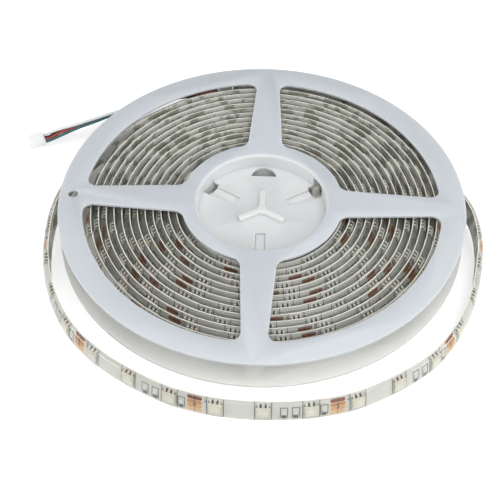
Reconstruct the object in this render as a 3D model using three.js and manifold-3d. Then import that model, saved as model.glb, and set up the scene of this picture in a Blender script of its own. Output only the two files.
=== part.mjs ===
// LED strip light reel: a 10 mm wide coated strip wound between two snapped white plastic
// halves, with one loose turn laid round the front and a four-wire lead with a small plug.
// Millimetres, +Z up. The reel's axis is Z, its underside is z = 0 and the viewer is towards -Y.

import * as THREE from "three";
import { mergeVertices } from "three/addons/utils/BufferGeometryUtils.js";
import Module from "manifold-3d";

const wasm = await Module();
wasm.setup();

// Strip
const STRIP_WIDTH = 10;
const BOARD_THICK = 0.3;
const BOND_GAP = 0.1;
const COAT_THICK = 2.2;
const TURN_GAP = 0.46;
const LED_PITCH = 50 / 3;
const LEDS_PER_CUT = 3;
const LED_SIDE = 5;
const LED_THICK = 1.6;
const RESISTOR_LENGTH = 3.2;
const RESISTOR_WIDTH = 1.6;
const RESISTOR_THICK = 0.6;
const POCKET_CLEAR = 0.25;
const FIRST_LED = 7.3;
const RESISTOR_PLACES = [31.2, 35.3, 45.2];
const RESISTOR_DROP = 1.2;
const STRIP_THICK = BOARD_THICK + BOND_GAP + COAT_THICK;
const CUT_PITCH = LED_PITCH * LEDS_PER_CUT;
const TURN_PITCH = STRIP_THICK + TURN_GAP;

// Reel
const REEL_RADIUS = 80;
const RIM_WIDTH = 9.5;
const FLANGE_THICK = 1.2;
const SIDE_ROOM = 1.3;
const STRIP_FLOAT = 0.3;
const REEL_TURN = -2.5;
const HUB_RADIUS = 28.9;
const HUB_WALL = 3.4;
const HUB_COLLAR = 3;
const LIP_ROUND = 1.2;
const WINDOWS = 4;
const SPOKE_HALF_INNER = 7.05;
const SPOKE_HALF_OUTER = 4.65;
const CORNER_OUTER = 4.5;
const CORNER_INNER = 3;
const RIM_HOLE_RADIUS = 2;
const RIM_HOLE_INSET = 5.3;
const RIM_HOLE_ANGLE = 180;
const REEL_HEIGHT = 2 * FLANGE_THICK + STRIP_FLOAT + STRIP_WIDTH + SIDE_ROOM;
const WINDOW_OUTER = REEL_RADIUS - RIM_WIDTH;
const WINDOW_INNER = HUB_RADIUS + HUB_COLLAR;
const DISH_RADIUS = HUB_RADIUS - HUB_WALL;

// Hub of the upper half, and what snaps into it
const DISH_DEPTH = 6.4;
const FLOOR_THICK = 1.2;
const FIT_GAP = 0.3;
const SLOTS = 3;
const SLOT_TURN = 30;
const SLOT_WIDTH = 3.9;
const SLOT_INNER = 11.5;
const SLOT_LENGTH = 11;
const NOTCH_WIDTH = 7;
const START_OPENING_LIP = 1.7;
const STAR_ARM = 10.4;
const STAR_WIDTH = 2.6;
const STAR_HEIGHT = 1.8;
const D_HOLE_RADIUS = 5;
const D_HOLE_WALL = 0.6;
const TONGUE_RISE_INNER = 0.5;
const TONGUE_RISE_OUTER = 0.9;
const FLOOR_TOP = REEL_HEIGHT - DISH_DEPTH;
const FLOOR_BOTTOM = FLOOR_TOP - FLOOR_THICK;

// Winding: it starts at the hub's opening and leaves the roll at the rear left
const START_ANGLE = 33;
const EXIT_ANGLE = 130;
const WIND_STEP = 15;
const EXIT_LEAD = 8;
const CORE_CLEAR = 0.4;
const RIM_MARGIN = 9.8;
const TAIL_INSET = 4.4;
const TAIL_START = 24;
const TAIL_STEP = 12;
const TAIL_END = 99.4;
const JOIN_ROOM = 6;
const CORE_RADIUS = HUB_RADIUS + CORE_CLEAR;
const STRIP_BOTTOM = FLANGE_THICK + STRIP_FLOAT;

// The loose turn, from the roll round the front to the gap under the right rim:
// the angle round the axis and how far the board's back lies outside the reel's edge.
const LOOSE_TURN = [
  [140, -8.9], [150, -6.6], [160, -3.7], [170, -1.0], [180, 1.5], [190, 3.7],
  [200, 6.2], [210, 8.6], [220, 10.7], [230, 11.5], [240, 11.8], [250, 12.6],
  [260, 12.8], [270, 12.9], [280, 13.6], [290, 14.3], [300, 13.9], [310, 13.7],
  [320, 11.8], [330, 9.2], [340, 6.7], [350, 5.0], [358, 3.0], [366, -0.8], [374, -3.0],
];
const LAY_FROM = 0.5;
const LAY_TO = 6;

// Lead: the middle of its four wires on their way to the plug, and where each wire lies
// round that middle, as how far to the rear side and how far up
const WIRE_DIAMETER = 1.2;
const WIRE_SPACING = 1.5;
const WIRE_END_GAP = 0.3;
const WIRE_STEPS = 20;
const LEAD_ROUTE = [
  { at: [-40.1, 69.5, 6.5], white: [-0.8, 2.1], green: [-0.3, 0.7], red: [0.3, -0.7], black: [0.8, -2.1] },
  { at: [-62.6, 58.6, 6.4], white: [-0.6, 1.7], green: [-0.2, 0.3], red: [0.8, -0.65], black: [1.7, -1.6] },
  { at: [-72.6, 53.2, 6.2], white: [0.05, 1.65], green: [-0.75, 0.5], red: [0.6, -0.15], black: [1.5, -1.1] },
  { at: [-77.9, 50.7, 5.8], white: [0.3, 1.65], green: [-0.8, 0.6], red: [0.6, -0.05], black: [1.6, -0.9] },
  { at: [-85.4, 47.9, 5.3], white: [0.9, 1.2], green: [-1.3, -0.4], red: [0.35, -0.25], black: [1.8, -0.25] },
  { at: [-89.9, 45.7, 5.0], white: [1.3, 0.9], green: [-2, -0.2], red: [-0.6, -0.45], black: [0.7, -0.5] },
];
const WIRES = [
  { name: "white", color: 0xd9dde0 },
  { name: "black", color: 0x17191b },
  { name: "red", color: 0xb3402f },
  { name: "green", color: 0x1f5c5b },
];
const JOINT_STACK = ["white", "green", "red", "black"];
const JOINT_LENGTH = 6;
const JOINT_THICK = 3;
const JOINT_HEIGHT = 9;
const PLUG_CENTRE = [-95.2, 43.9, 4.6];
const PLUG_TURN = 200;
const PLUG_LENGTH = 5.4;
const PLUG_WIDTH = 6;
const PLUG_THICK = 2.6;
const PLUG_CAVITY = 1;
const PLUG_CAVITY_DEPTH = 3.8;
const CONTACT_THICK = 0.4;

// Facets of the round shapes, and how far a cutting shape runs past the face it cuts
const RIM_FACETS = 96;
const HUB_FACETS = 48;
const HOLE_FACETS = 16;
const LIP_FACETS = 4;
const WIRE_FACETS = 8;
const CUT_OVER = 1;

const rad = THREE.MathUtils.degToRad;
const group = new THREE.Group();

function addPiece(name, geometry, color, roughness) {
  const clean = geometry.clone();
  clean.computeVertexNormals();
  const material = new THREE.MeshStandardMaterial({ color, roughness, metalness: 0 });
  const mesh = new THREE.Mesh(clean, material);
  mesh.name = name;
  group.add(mesh);
  return mesh;
}

// A closed geometry with shared vertices merged and its faces pointing out
function closed(geometry) {
  const bare = geometry.clone();
  bare.deleteAttribute("normal");
  bare.deleteAttribute("uv");
  const merged = mergeVertices(bare, 1e-4);
  const place = merged.attributes.position;
  const faces = [];
  let volume = 0;
  const a = new THREE.Vector3();
  const b = new THREE.Vector3();
  const c = new THREE.Vector3();
  for (let i = 0; i < merged.index.count; i += 3) {
    const face = [0, 1, 2].map((k) => merged.index.getX(i + k));
    if (new Set(face).size < 3) continue;
    a.fromBufferAttribute(place, face[0]);
    b.fromBufferAttribute(place, face[1]);
    c.fromBufferAttribute(place, face[2]);
    volume += a.dot(b.cross(c)) / 6;
    faces.push(face);
  }
  if (volume < 0) faces.forEach((face) => face.reverse());
  merged.setIndex(faces.flat());
  return merged;
}

function toSolid(geometry) {
  const shape = closed(geometry);
  return new wasm.Manifold(new wasm.Mesh({
    numProp: 3,
    vertProperties: new Float32Array(shape.attributes.position.array),
    triVerts: new Uint32Array(shape.index.array),
  }));
}

function toGeometry(solid) {
  const mesh = solid.getMesh();
  const geometry = new THREE.BufferGeometry();
  geometry.setAttribute("position", new THREE.BufferAttribute(new Float32Array(mesh.vertProperties), 3));
  geometry.setIndex(new THREE.BufferAttribute(new Uint32Array(mesh.triVerts), 1));
  return geometry;
}

function circle(radius, segments, x = 0, y = 0) {
  const points = [];
  for (let i = 0; i < segments; i += 1) {
    const angle = (2 * Math.PI * i) / segments;
    points.push(new THREE.Vector2(x + radius * Math.cos(angle), y + radius * Math.sin(angle)));
  }
  return points;
}

function polar(radius, angle) {
  return new THREE.Vector2(radius * Math.cos(angle), radius * Math.sin(angle));
}

// A box set radially: its near and far distance from the axis, its width, its heights
// and its direction
function radialBox(near, far, width, low, high, degrees) {
  const box = new THREE.BoxGeometry(far - near, width, high - low);
  box.translate((near + far) / 2, 0, (low + high) / 2);
  box.rotateZ(rad(degrees));
  return box;
}

// One window between two spokes, with rounded corners
function windowOutline(index) {
  const start = rad(REEL_TURN + (360 / WINDOWS) * index);
  const end = start + (2 * Math.PI) / WINDOWS;
  const leanOuter = Math.asin(SPOKE_HALF_OUTER / WINDOW_OUTER);
  const leanInner = Math.asin(SPOKE_HALF_INNER / WINDOW_INNER);
  const corner = {
    outerStart: polar(WINDOW_OUTER, start + leanOuter),
    outerEnd: polar(WINDOW_OUTER, end - leanOuter),
    innerEnd: polar(WINDOW_INNER, end - leanInner),
    innerStart: polar(WINDOW_INNER, start + leanInner),
  };
  const towards = (from, to, distance) => {
    const step = to.clone().sub(from).setLength(distance);
    return from.clone().add(step);
  };
  const trimOuter = CORNER_OUTER / WINDOW_OUTER;
  const trimInner = CORNER_INNER / WINDOW_INNER;
  const path = new THREE.Path();
  path.absarc(0, 0, WINDOW_OUTER, start + leanOuter + trimOuter, end - leanOuter - trimOuter, false);
  const side = towards(corner.outerEnd, corner.innerEnd, CORNER_OUTER);
  path.quadraticCurveTo(corner.outerEnd.x, corner.outerEnd.y, side.x, side.y);
  const foot = towards(corner.innerEnd, corner.outerEnd, CORNER_INNER);
  path.lineTo(foot.x, foot.y);
  const innerTurn = polar(WINDOW_INNER, end - leanInner - trimInner);
  path.quadraticCurveTo(corner.innerEnd.x, corner.innerEnd.y, innerTurn.x, innerTurn.y);
  path.absarc(0, 0, WINDOW_INNER, end - leanInner - trimInner, start + leanInner + trimInner, true);
  const rise = towards(corner.innerStart, corner.outerStart, CORNER_INNER);
  path.quadraticCurveTo(corner.innerStart.x, corner.innerStart.y, rise.x, rise.y);
  const top = towards(corner.outerStart, corner.innerStart, CORNER_OUTER);
  path.lineTo(top.x, top.y);
  const first = polar(WINDOW_OUTER, start + leanOuter + trimOuter);
  path.quadraticCurveTo(corner.outerStart.x, corner.outerStart.y, first.x, first.y);
  return path.getPoints(5);
}

// The thin disc of either half, with its windows and the small hole in the rim
function flange(hubHole) {
  const shape = new THREE.Shape(circle(REEL_RADIUS, RIM_FACETS));
  for (let i = 0; i < WINDOWS; i += 1) shape.holes.push(new THREE.Path(windowOutline(i)));
  const hole = polar(REEL_RADIUS - RIM_HOLE_INSET, rad(RIM_HOLE_ANGLE + REEL_TURN));
  shape.holes.push(new THREE.Path(circle(RIM_HOLE_RADIUS, HOLE_FACETS, hole.x, hole.y)));
  if (hubHole > 0) shape.holes.push(new THREE.Path(circle(hubHole, HUB_FACETS)));
  return new THREE.ExtrudeGeometry(shape, { depth: FLANGE_THICK, bevelEnabled: false });
}

function slotAngle(index) {
  return SLOT_TURN + REEL_TURN + (360 / SLOTS) * index;
}

// The opening through the hub's wall where the strip's inner end comes in
function cutStartOpening(solid, low, high) {
  const near = DISH_RADIUS - CUT_OVER;
  const box = radialBox(near, HUB_RADIUS + CUT_OVER, NOTCH_WIDTH, low, high, slotAngle(0));
  return solid.subtract(toSolid(box));
}

function buildUpperHalf() {
  const top = REEL_HEIGHT;
  const under = REEL_HEIGHT - FLANGE_THICK;
  const collar = HUB_RADIUS + HUB_COLLAR / 3;
  const profile = [new THREE.Vector2(0, FLOOR_BOTTOM), new THREE.Vector2(HUB_RADIUS, FLOOR_BOTTOM)];
  profile.push(new THREE.Vector2(HUB_RADIUS, under + FLANGE_THICK / 2));
  profile.push(new THREE.Vector2(collar, under + FLANGE_THICK / 2), new THREE.Vector2(collar, top));
  for (let i = 0; i <= LIP_FACETS; i += 1) {
    const angle = (Math.PI / 2) * (i / LIP_FACETS);
    const r = DISH_RADIUS + LIP_ROUND * (1 - Math.sin(angle));
    profile.push(new THREE.Vector2(r, top - LIP_ROUND * (1 - Math.cos(angle))));
  }
  profile.push(new THREE.Vector2(DISH_RADIUS, FLOOR_TOP), new THREE.Vector2(0, FLOOR_TOP));
  const cup = new THREE.LatheGeometry(profile, HUB_FACETS);
  cup.rotateX(Math.PI / 2);
  const disc = flange((HUB_RADIUS + DISH_RADIUS) / 2);
  disc.translate(0, 0, under);
  let solid = toSolid(cup).add(toSolid(disc));
  const slotEnd = SLOT_INNER + SLOT_LENGTH;
  const low = FLOOR_BOTTOM - CUT_OVER;
  const high = FLOOR_TOP + CUT_OVER / 2;
  for (let i = 0; i < SLOTS; i += 1) {
    const slot = radialBox(SLOT_INNER, slotEnd + CUT_OVER / 2, SLOT_WIDTH, low, high, slotAngle(i));
    const notch = radialBox(slotEnd, DISH_RADIUS - 0.1, NOTCH_WIDTH, low, high, slotAngle(i));
    solid = solid.subtract(toSolid(slot)).subtract(toSolid(notch));
    const armFoot = FLOOR_TOP - FLOOR_THICK / 2;
    const arm = radialBox(0, STAR_ARM, STAR_WIDTH, armFoot, FLOOR_TOP + STAR_HEIGHT,
      slotAngle(i) + 180 / SLOTS);
    solid = solid.add(toSolid(arm));
  }
  solid = cutStartOpening(solid, FLOOR_BOTTOM - CUT_OVER, top - START_OPENING_LIP);
  const half = new THREE.Shape();
  half.absarc(0, 0, D_HOLE_RADIUS, -Math.PI / 2, Math.PI / 2, false);
  half.closePath();
  const dHole = new THREE.ExtrudeGeometry(new THREE.Shape(half.getPoints(8)), {
    depth: FLOOR_THICK + 2 * CUT_OVER,
    bevelEnabled: false,
  });
  dHole.translate(DISH_RADIUS - D_HOLE_WALL - D_HOLE_RADIUS, 0, FLOOR_BOTTOM - CUT_OVER);
  dHole.rotateZ(rad(90 + REEL_TURN));
  solid = solid.subtract(toSolid(dHole));
  addPiece("reel_upper_half", toGeometry(solid), 0xd4d7dc, 0.45);
}

// A tongue that stands on the lower disc and snaps into a slot of the upper floor
function tongue(degrees) {
  const near = SLOT_INNER + FIT_GAP;
  const far = SLOT_INNER + SLOT_LENGTH - FIT_GAP;
  const shape = new THREE.Shape([
    new THREE.Vector2(near, FLANGE_THICK / 2),
    new THREE.Vector2(far, FLANGE_THICK / 2),
    new THREE.Vector2(far, FLOOR_BOTTOM + TONGUE_RISE_OUTER),
    new THREE.Vector2(near, FLOOR_BOTTOM + TONGUE_RISE_INNER),
  ]);
  const width = SLOT_WIDTH - 2 * FIT_GAP;
  const blade = new THREE.ExtrudeGeometry(shape, { depth: width, bevelEnabled: false });
  blade.translate(0, 0, -width / 2);
  blade.rotateX(Math.PI / 2);
  blade.rotateZ(rad(degrees));
  return blade;
}

function buildLowerHalf() {
  const profile = [
    new THREE.Vector2(DISH_RADIUS, FLANGE_THICK / 2),
    new THREE.Vector2(HUB_RADIUS, FLANGE_THICK / 2),
    new THREE.Vector2(HUB_RADIUS, FLOOR_BOTTOM - FIT_GAP),
    new THREE.Vector2(DISH_RADIUS, FLOOR_BOTTOM - FIT_GAP),
    new THREE.Vector2(DISH_RADIUS, FLANGE_THICK / 2),
  ];
  const wall = new THREE.LatheGeometry(profile, HUB_FACETS);
  wall.rotateX(Math.PI / 2);
  let solid = toSolid(flange(0)).add(toSolid(wall));
  solid = cutStartOpening(solid, FLANGE_THICK, FLOOR_BOTTOM + CUT_OVER);
  for (let i = 0; i < SLOTS; i += 1) solid = solid.add(toSolid(tongue(slotAngle(i))));
  addPiece("reel_lower_half", toGeometry(solid), 0xdbdad4, 0.45);
}

// The roll: an even spiral of the board's back, from the hub's opening to the exit
function windingStations() {
  const part = (EXIT_ANGLE - START_ANGLE) / 360;
  const room = REEL_RADIUS - RIM_MARGIN - CORE_RADIUS;
  const turns = Math.floor(room / TURN_PITCH - part) + part;
  const stations = [];
  for (let swept = 0; swept < turns * 360 - WIND_STEP / 3; swept += WIND_STEP) {
    const angle = rad(START_ANGLE + swept);
    const radius = CORE_RADIUS + (TURN_PITCH * swept) / 360;
    const out = new THREE.Vector2(Math.cos(angle), Math.sin(angle));
    stations.push({ at: out.clone().multiplyScalar(radius), out });
  }
  const exitRadius = CORE_RADIUS + TURN_PITCH * turns;
  return { stations, exitRadius };
}

// The loose turn and the tail as one smooth curve of the board's back
function looseCurve(exitRadius) {
  const guide = [
    [EXIT_ANGLE - EXIT_LEAD, exitRadius - (TURN_PITCH * EXIT_LEAD) / 360],
    [EXIT_ANGLE, exitRadius],
  ];
  LOOSE_TURN.forEach(([angle, beyond]) => guide.push([angle, REEL_RADIUS + beyond]));
  for (let angle = TAIL_START; angle < TAIL_END; angle += TAIL_STEP) {
    guide.push([360 + angle, REEL_RADIUS - TAIL_INSET]);
  }
  guide.push([360 + TAIL_END, REEL_RADIUS - TAIL_INSET]);
  const points = guide.map(([angle, radius]) => {
    const at = polar(radius, rad(angle));
    return new THREE.Vector3(at.x, at.y, 0);
  });
  const curve = new THREE.CatmullRomCurve3(points, false, "centripetal");
  curve.arcLengthDivisions = 2000;
  return curve;
}

function curveStation(curve, length, distance) {
  const share = THREE.MathUtils.clamp(distance / length, 0, 1);
  const point = curve.getPointAt(share);
  const along = curve.getTangentAt(share);
  const out = new THREE.Vector2(along.y, -along.x).normalize();
  return { at: new THREE.Vector2(point.x, point.y), out };
}

const winding = windingStations();
const loose = looseCurve(winding.exitRadius);
const looseLength = loose.getLength();

// How far the strip has come down from the reel's shelf to the table at this radius
function layDown(radius) {
  const beyond = radius - REEL_RADIUS;
  return STRIP_BOTTOM * THREE.MathUtils.smoothstep(beyond, LAY_FROM, LAY_TO);
}

// All stations of the strip, placed so that each LED lies in the middle of a flat facet
function stripStations() {
  const step = LED_PITCH / 3;
  const stations = [...winding.stations];
  const phase = (looseLength - CUT_PITCH + FIRST_LED + step / 2) % step;
  for (let distance = phase; distance < looseLength - 0.5; distance += step) {
    if (distance > JOIN_ROOM) stations.push(curveStation(loose, looseLength, distance));
  }
  stations.push(curveStation(loose, looseLength, looseLength));
  return stations;
}

// The strip's way as a curve with one point at each station, along the strip's lower edge
class StripPath extends THREE.Curve {
  constructor(stations) {
    super();
    this.stations = stations;
  }

  station(share) {
    return this.stations[Math.round(share * (this.stations.length - 1))];
  }

  getPointAt(share) {
    const { at } = this.station(share);
    return new THREE.Vector3(at.x, at.y, STRIP_BOTTOM - layDown(at.length()));
  }

  getTangentAt(share) {
    const { out } = this.station(share);
    return new THREE.Vector3(-out.y, out.x, 0);
  }
}

// A layer of the strip standing on edge, between two distances from the board's back
function stripLayer(stations, near, far) {
  const section = new THREE.Shape([
    new THREE.Vector2(0, -near),
    new THREE.Vector2(0, -far),
    new THREE.Vector2(-STRIP_WIDTH, -far),
    new THREE.Vector2(-STRIP_WIDTH, -near),
  ]);
  const extrudePath = new StripPath(stations);
  return new THREE.ExtrudeGeometry(section, { steps: stations.length - 1, extrudePath });
}

// A small box on the board: its length along the strip, its thickness off the board,
// its height, and where its middle lies across the strip's width
function onBoard(distance, length, near, thick, height, across) {
  const { at, out } = curveStation(loose, looseLength, distance);
  const box = new THREE.BoxGeometry(thick, length, height);
  const bottom = STRIP_BOTTOM - layDown(at.length());
  box.translate(near + thick / 2, 0, bottom + across);
  box.rotateZ(Math.atan2(out.y, out.x));
  box.translate(at.x, at.y, 0);
  return box;
}

function buildStrip() {
  const stations = stripStations();
  const seat = BOARD_THICK + BOND_GAP;
  addPiece("strip_board", closed(stripLayer(stations, 0, BOARD_THICK)), 0xe4e5e2, 0.5);
  let coat = toSolid(stripLayer(stations, seat, STRIP_THICK));
  const parts = [];
  for (let cut = looseLength - CUT_PITCH; cut > -CUT_PITCH; cut -= CUT_PITCH) {
    for (let i = 0; i < LEDS_PER_CUT; i += 1) {
      parts.push({ kind: "led", distance: cut + FIRST_LED + i * LED_PITCH });
    }
    RESISTOR_PLACES.forEach((place) => parts.push({ kind: "resistor", distance: cut + place }));
  }
  const shown = parts.filter(({ distance }) => {
    if (distance < 0 || distance > looseLength) return false;
    return curveStation(loose, looseLength, distance).at.length() > REEL_RADIUS;
  });
  shown.sort((first, second) => first.distance - second.distance);
  const counts = { led: 0, resistor: 0 };
  shown.forEach(({ kind, distance }) => {
    const led = kind === "led";
    const length = led ? LED_SIDE : RESISTOR_WIDTH;
    const height = led ? LED_SIDE : RESISTOR_LENGTH;
    const thick = led ? LED_THICK : RESISTOR_THICK;
    const across = led ? STRIP_WIDTH / 2 : STRIP_WIDTH / 2 - RESISTOR_DROP;
    counts[kind] += 1;
    const name = `${kind}_${String(counts[kind]).padStart(2, "0")}`;
    const color = led ? 0xd9d8c4 : 0x2b2b2c;
    addPiece(name, onBoard(distance, length, seat, thick, height, across), color, 0.4);
    const pocketThick = thick + POCKET_CLEAR + CUT_OVER;
    const pocket = onBoard(distance, length + 2 * POCKET_CLEAR, seat - CUT_OVER, pocketThick,
      height + 2 * POCKET_CLEAR, across);
    coat = coat.subtract(toSolid(pocket));
  });
  addPiece("strip_coat", toGeometry(coat), 0xc9cbc6, 0.25);
}

// The potted joint between the strip's outer end and the lead
function buildJoint() {
  const end = curveStation(loose, looseLength, looseLength);
  const along = new THREE.Vector2(-end.out.y, end.out.x);
  const block = new THREE.BoxGeometry(JOINT_THICK, JOINT_LENGTH, JOINT_HEIGHT);
  block.rotateZ(Math.atan2(end.out.y, end.out.x));
  const middle = end.at.clone().addScaledVector(end.out, STRIP_THICK / 2);
  middle.addScaledVector(along, FIT_GAP + JOINT_LENGTH / 2);
  const height = STRIP_BOTTOM + STRIP_WIDTH / 2;
  block.translate(middle.x, middle.y, height);
  addPiece("lead_joint", block, 0xdfe0dd, 0.35);
  const face = middle.clone().addScaledVector(along, JOINT_LENGTH / 2 + WIRE_END_GAP);
  return new THREE.Vector3(face.x, face.y, height);
}

function buildPlug() {
  const turn = rad(PLUG_TURN);
  const place = (geometry) => {
    geometry.rotateZ(turn);
    geometry.translate(...PLUG_CENTRE);
    return geometry;
  };
  let housing = toSolid(place(new THREE.BoxGeometry(PLUG_LENGTH, PLUG_WIDTH, PLUG_THICK)));
  for (let i = 0; i < WIRES.length; i += 1) {
    const side = (i - (WIRES.length - 1) / 2) * WIRE_SPACING;
    const cavity = new THREE.BoxGeometry(PLUG_CAVITY_DEPTH + CUT_OVER, PLUG_CAVITY, PLUG_CAVITY);
    cavity.translate((PLUG_LENGTH + CUT_OVER - PLUG_CAVITY_DEPTH) / 2, side, 0);
    housing = housing.subtract(toSolid(place(cavity)));
    const length = PLUG_CAVITY_DEPTH - 2 * FIT_GAP;
    const contact = new THREE.BoxGeometry(length, CONTACT_THICK, CONTACT_THICK);
    contact.translate(PLUG_LENGTH / 2 - FIT_GAP - length / 2, side, 0);
    addPiece(`plug_contact_${i + 1}`, place(contact), 0xc2c2bd, 0.3);
  }
  addPiece("plug_housing", toGeometry(housing), 0xeceeee, 0.4);
  return { turn, across: new THREE.Vector3(-Math.sin(turn), Math.cos(turn), 0) };
}

function buildWires(start, plug) {
  const back = new THREE.Vector3(-Math.cos(plug.turn), -Math.sin(plug.turn), 0);
  const rear = new THREE.Vector3(...PLUG_CENTRE).addScaledVector(back, PLUG_LENGTH / 2 + WIRE_END_GAP);
  const middle = [start, ...LEAD_ROUTE.map(({ at }) => new THREE.Vector3(...at)), rear];
  const ranks = (WIRES.length - 1) / 2;
  WIRES.forEach(({ name, color }, i) => {
    const points = LEAD_ROUTE.map((stop, k) => {
      const along = middle[k + 2].clone().sub(middle[k]);
      const side = new THREE.Vector3(along.y, -along.x, 0).normalize();
      const [rearward, up] = stop[name];
      return new THREE.Vector3(...stop.at).addScaledVector(side, rearward).add(new THREE.Vector3(0, 0, up));
    });
    const drop = (JOINT_STACK.indexOf(name) - ranks) * WIRE_SPACING;
    points.unshift(start.clone().add(new THREE.Vector3(0, 0, -drop)));
    points.push(rear.clone().addScaledVector(plug.across, (i - ranks) * WIRE_SPACING));
    const route = new THREE.CatmullRomCurve3(points, false, "centripetal");
    const section = new THREE.Shape(circle(WIRE_DIAMETER / 2, WIRE_FACETS));
    const tube = new THREE.ExtrudeGeometry(section, { steps: WIRE_STEPS, extrudePath: route });
    addPiece(`wire_${name}`, closed(tube), color, 0.45);
  });
}

buildUpperHalf();
buildLowerHalf();
buildStrip();
const leadStart = buildJoint();
const plugPlace = buildPlug();
buildWires(leadStart, plugPlace);

export default group;
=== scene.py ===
import math

import bmesh
import bpy
import numpy as np
from mathutils import Matrix, Vector


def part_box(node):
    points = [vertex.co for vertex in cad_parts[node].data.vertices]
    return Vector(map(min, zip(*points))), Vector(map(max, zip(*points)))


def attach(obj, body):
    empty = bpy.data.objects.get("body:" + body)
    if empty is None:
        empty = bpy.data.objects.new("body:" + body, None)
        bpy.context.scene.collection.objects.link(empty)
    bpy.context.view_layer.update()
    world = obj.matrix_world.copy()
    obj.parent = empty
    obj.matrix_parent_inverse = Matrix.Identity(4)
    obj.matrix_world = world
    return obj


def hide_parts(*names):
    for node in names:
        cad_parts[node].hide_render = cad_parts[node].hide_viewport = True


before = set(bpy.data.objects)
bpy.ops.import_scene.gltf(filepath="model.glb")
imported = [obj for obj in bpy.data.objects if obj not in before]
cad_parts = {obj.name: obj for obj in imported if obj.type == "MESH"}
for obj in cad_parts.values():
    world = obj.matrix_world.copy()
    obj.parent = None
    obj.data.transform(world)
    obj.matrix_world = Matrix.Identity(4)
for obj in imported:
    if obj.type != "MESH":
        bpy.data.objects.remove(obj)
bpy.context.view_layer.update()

# The camera stands in front of the reel and looks down on it, as for a shop picture. Its
# lens, distance and slight roll were fitted to the rims and the windows.
CAMERA_PLACE = Vector((-0.0046, -0.33794, 0.36181))
CAMERA_AIM = Vector((-0.0046, -0.0263, 0.014))
CAMERA_ROLL = math.radians(0.285)
CAMERA_LENS = 88.63

bpy.ops.object.camera_add(location=CAMERA_PLACE)
camera = bpy.context.object
camera.name = "camera"
camera.data.sensor_width = 36
camera.data.lens = CAMERA_LENS
camera.data.clip_start = 0.01
camera.data.clip_end = 20
look = (CAMERA_AIM - CAMERA_PLACE).to_track_quat("-Z", "Y").to_matrix().to_4x4()
roll = Matrix.Rotation(CAMERA_ROLL, 4, "Z")
camera.matrix_world = Matrix.Translation(CAMERA_PLACE) @ look @ roll
bpy.context.scene.camera = camera


# The lead is four thin PVC-insulated wires, pressed together where they come out under the
# rim and fanning out to the plug. They start at the potted joint on the strip's outer end.
WIRE_RADIUS = 0.0006
WIRE_SPACING = 0.0015
WIRE_END_GAP = 0.0003
CLOSE = 0.0001  # places nearer than this count as one
POINTS_BETWEEN = 4
JOINT_STACK = ["white", "green", "red", "black"]  # from the top down
PLUG_ORDER = ["white", "black", "red", "green"]
WIRE_COLOURS = {
    "white": (0.72, 0.75, 0.76),
    "black": (0.010, 0.012, 0.013),
    "red": (0.42, 0.045, 0.028),
    "green": (0.013, 0.105, 0.105),
}
LEAD_ROUTE = [
    # A point in mm on the lead's middle, then each wire's shift to the side and up from it,
    # in the order of the stack at the joint.
    ((-40.1, 69.5, 6.5), (-0.8, 2.1), (-0.3, 0.7), (0.3, -0.7), (0.8, -2.1)),
    ((-62.6, 58.6, 6.4), (-0.6, 1.7), (-0.2, 0.3), (0.8, -0.65), (1.7, -1.6)),
    ((-72.6, 53.2, 6.2), (0.05, 1.65), (-0.75, 0.5), (0.6, -0.15), (1.5, -1.1)),
    ((-77.9, 50.7, 5.8), (0.3, 1.65), (-0.8, 0.6), (0.6, -0.05), (1.6, -0.9)),
    ((-85.4, 47.9, 5.3), (0.9, 1.2), (-1.3, -0.4), (0.35, -0.25), (1.8, -0.25)),
    ((-89.9, 45.7, 5.0), (1.3, 0.9), (-2, -0.2), (-0.6, -0.45), (0.7, -0.5)),
]
JOINT_LENGTH = 0.006
PLUG_CENTRE = Vector((-0.0952, 0.0439, 0.0046))
PLUG_TURN = math.radians(200)
PLUG_LENGTH = 0.0054


class Level:
    """A number that varies over a finish, so that sums can be written with it."""

    def __init__(self, finish, socket):
        self.finish = finish
        self.socket = socket

    def work(self, operation, *others):
        values = dict(enumerate([self, *others]))
        node = self.finish.node("ShaderNodeMath", {"operation": operation}, values)
        return Level(self.finish, node.outputs[0])

    def __add__(self, other):
        return self.work("ADD", other)

    def __sub__(self, other):
        return self.work("SUBTRACT", other)

    def __rsub__(self, other):
        return self.work("MULTIPLY_ADD", -1.0, other)

    def __mul__(self, other):
        return self.work("MULTIPLY", other)

    def __abs__(self):
        return self.work("ABSOLUTE")

    def below(self, limit, soft):
        """1 where the number is below the limit and 0 above it, with a soft edge between."""
        share = (limit - self) * (1 / soft) + 0.5
        return share.work("MAXIMUM", 0.0).work("MINIMUM", 1.0)


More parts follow.
